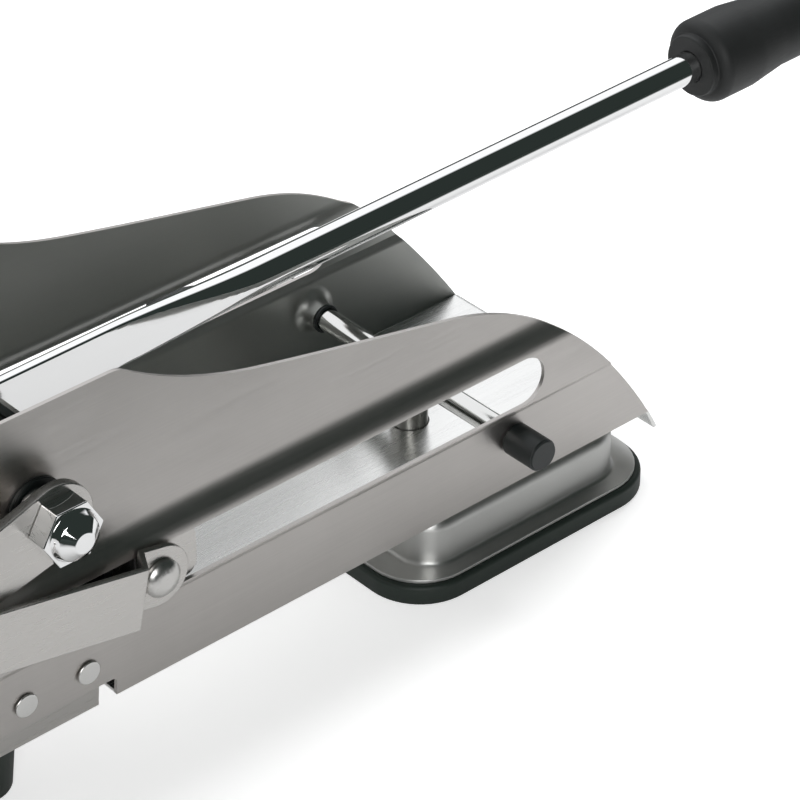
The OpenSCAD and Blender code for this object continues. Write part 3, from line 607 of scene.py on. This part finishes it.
# ---- Pusher ----
# A folded steel back plate whose ears run in the bands, with a block of square plastic
# studs screwed to it. Domed rivets join it to the links through the slots.
bright_steel = steel("bright_steel", (0.90, 0.90, 0.90), (0.85, 0.85, 0.85), (0.03, 0.07),
                     (8.0, 260.0, 260.0), bump=0.02)
satin_steel = steel("satin_steel", (0.70, 0.69, 0.67), (0.60, 0.59, 0.575), (0.26, 0.36),
                    (900.0, 900.0, 900.0), bump=0.1)
carry("pusher_frame", "pusher", "sheet", plate_steel, 0.3)
carry("pusher_block", "pusher", "plastic", black_plastic, 0.5)
carry("pusher_screws", "pusher", "bright", bright_steel, 0.2)
carry("pusher_rivets", "pusher", "bright", satin_steel, 0.5)

# ---- Links ----
# Flat steel strips with round ends, pressed with a step outwards so that the cranks pass
# behind them. A rivet head sits on each front end.
turned_steel = steel("turned_steel", (0.78, 0.775, 0.76), (0.66, 0.655, 0.64), (0.14, 0.26),
                     (900.0, 60.0, 900.0))
for name in ("near", "far"):
    body = "link_n" if name == "near" else "link_f"
    carry(f"link_{name}", body, "plate", plate_steel, 0.4)
    carry(f"link_pin_{name}", body, "bright", turned_steel, 0.5)

# ---- Lever shaft and cranks ----
# A turned bar across both walls in plastic bushes, with a flat steel crank on each end.
# Sleeves keep the cranks off the walls, and cap nuts hold them on.
carry("lever_shaft", "lever", "bright", turned_steel, 0.4)
for name in ("crank_near", "crank_far"):
    carry(name, "lever", "plate", plate_steel, 0.4)
carry("crank_studs", "lever", "bright", turned_steel, 0.4)
carry("shaft_nuts", "lever", "bright", bright_steel, 0.5)
carry("shaft_sleeves", "lever", "bright", turned_steel, 0.3)
carry("shaft_bushes", "base", "plastic", black_plastic, 0.3)

# ---- Lever ----
# A bright round tube, pressed flat where it is clamped between two collars on the shaft.
# The free end carries a rubber grip.
TUBE = 4.7            # radius of the round tube
RISE = math.radians(1.0)
FLAT_T, FLAT_H = 1.7, 6.7            # half the thickness and height of the pressed end
END_R, END_TO = 9.0, 6.0             # its round front, and where that meets the flat
FLAT_TO, ROUND_FROM = 56, 108        # where the flat ends and where the tube is round
RIM_X = 372           # the far end is chamfered from here
SHAFT_R = 5.0


def ease(t):
    """0 to 1 with soft ends."""
    t = max(0.0, min(1.0, t))
    return t * t * (3 - 2 * t)


# stations along the lever, close together where its section changes
stations = [-8.98, -8.9, -8.6, -8, -7, -5.6, -3.8, -1.8, 0.4, 2.6, 4.6, 6, 7, 9, 24, 42, 54]
stations += [58 + 4 * i for i in range(13)] + [112, 160, 220, 280, 330, 368, 372.2, 373]
tube = bmesh.new()
bmesh.ops.create_circle(tube, cap_ends=True, segments=64, radius=TUBE)
bmesh.ops.rotate(tube, cent=(0, 0, 0), matrix=Matrix.Rotation(math.pi / 2, 3, "Y"), verts=tube.verts)
loop = list(tube.edges)


def press(verts, shape, x):
    """Moves a ring of the tube to its station, pressed as it is there."""
    t = ease((x - FLAT_TO) / (ROUND_FROM - FLAT_TO))
    thin = FLAT_T + (TUBE - FLAT_T) * t
    tall = FLAT_H + (TUBE - FLAT_H) * t
    if x < END_TO:
        tall = math.sqrt(max(0.01, END_R ** 2 - x * x))
    if x > RIM_X:
        thin = tall = TUBE - 0.4 * (x - RIM_X)
    for v, c in zip(verts, shape):
        v.co = (x, max(-thin, min(thin, c.y)), c.z * tall / TUBE)


ring = sorted({v for e in loop for v in e.verts}, key=lambda v: math.atan2(v.co.y, v.co.z))
shape = [v.co.copy() for v in ring]
press(ring, shape, stations[0])
for x in stations[1:]:
    grown = bmesh.ops.extrude_edge_only(tube, edges=loop)["geom"]
    loop = [g for g in grown if isinstance(g, bmesh.types.BMEdge) and all(
        abs(v.co.x - ring[0].co.x) < 1e-6 for v in g.verts) and len(g.link_faces) == 1]
    fresh = {v for e in loop for v in e.verts}
    ring = sorted(fresh, key=lambda v: math.atan2(v.co.y, v.co.z))
    press(ring, shape, x)
bmesh.ops.holes_fill(tube, edges=[e for e in tube.edges if len(e.link_faces) == 1], sides=0)
bmesh.ops.recalc_face_normals(tube, faces=tube.faces)
bmesh.ops.rotate(tube, cent=(0, 0, 0), matrix=Matrix.Rotation(-RISE, 3, "Y"), verts=tube.verts)
bmesh.ops.translate(tube, vec=(PIVOT[0], 0, PIVOT[1]), verts=tube.verts)
lever = piece("lever_bar", tube)
cut(lever, rod("Y", PIVOT, SHAFT_R, -8, 8))
fit(soften(lever, 0.15, angle=50), "lever", "bright", bright_steel, "lever_tube")
carry("lever_collars", "lever", "bright", turned_steel, 0.4)
grip_rubber = moulding("grip_rubber", (0.014, 0.015, 0.015), (0.5, 0.68), 1100.0, 0.35)
carry("handle_grip", "lever", "grip", grip_rubber, 0.8)
carry("grip_cap", "lever", "plastic", black_plastic, 0.8)

# ---- Blades ----
# A cast frame slid in between the walls, with two crossed sets of ground strips,
# drawn against the front flange by four studs with knurled nuts.
blade_steel = steel("blade_steel", (0.74, 0.74, 0.74), (0.62, 0.62, 0.62), (0.16, 0.3), (900.0, 60.0, 60.0))
carry("blade_frame", "base", "sheet", plate_steel, 0.5)
carry("blades_upright", "base", "blade", blade_steel, 0.08)
carry("blades_level", "base", "blade", blade_steel, 0.08)
carry("blade_studs", "base", "bright", turned_steel, 0.2)
carry("blade_nuts", "base", "bright", turned_steel, 0.25)

# ---- Front stand ----
# A steel channel riveted between the walls in front of the floor. Two rubber feet are
# screwed under it.
carry("front_stand", "base", "sheet", plate_steel, 0.25)
carry("front_feet", "base", "rubber", black_rubber, 0.6)
carry("stand_rivets", "base", "bright", turned_steel, 0.4)
carry("foot_screws", "base", "bright", turned_steel, 0.2)

bpy.context.view_layer.update()
